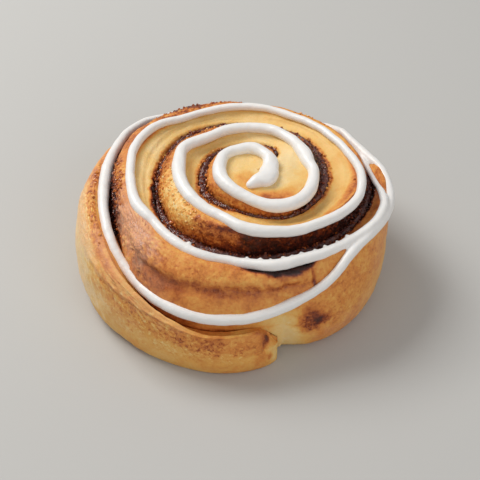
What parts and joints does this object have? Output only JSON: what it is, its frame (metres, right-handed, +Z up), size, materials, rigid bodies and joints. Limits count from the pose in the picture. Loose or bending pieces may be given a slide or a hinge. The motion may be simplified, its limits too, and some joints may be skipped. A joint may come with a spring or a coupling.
{
  "type": "cinnamon roll",
  "caption": "Baked cinnamon roll: a wound strip of golden dough with dark cinnamon filling in its spiral grooves and a thick white icing drizzle following the spiral",
  "frame": {"origin": "On the surface that the roll rests on, under the middle of its bounding box", "axes": "+Z up. -Y is the front, where the loose tail of the dough strip ends and the side shows the seam. +X is right as seen from the front. Seen from above, the strip winds outwards counterclockwise"},
  "size_m": [0.1046, 0.1038, 0.0464],
  "materials": {
    "dough": "Baked wheat dough: pale cream inside the wraps, golden to orange-brown on the crests and the front, soft satin",
    "filling": "Dark brown sugar and cinnamon paste, grainy, with a sticky gloss",
    "icing": "Opaque white sugar icing, smooth, with a soft gloss"
  },
  "bodies": {
    "root": {"dough": "dough", "filling": "filling"}
  },
  "joints": []
}
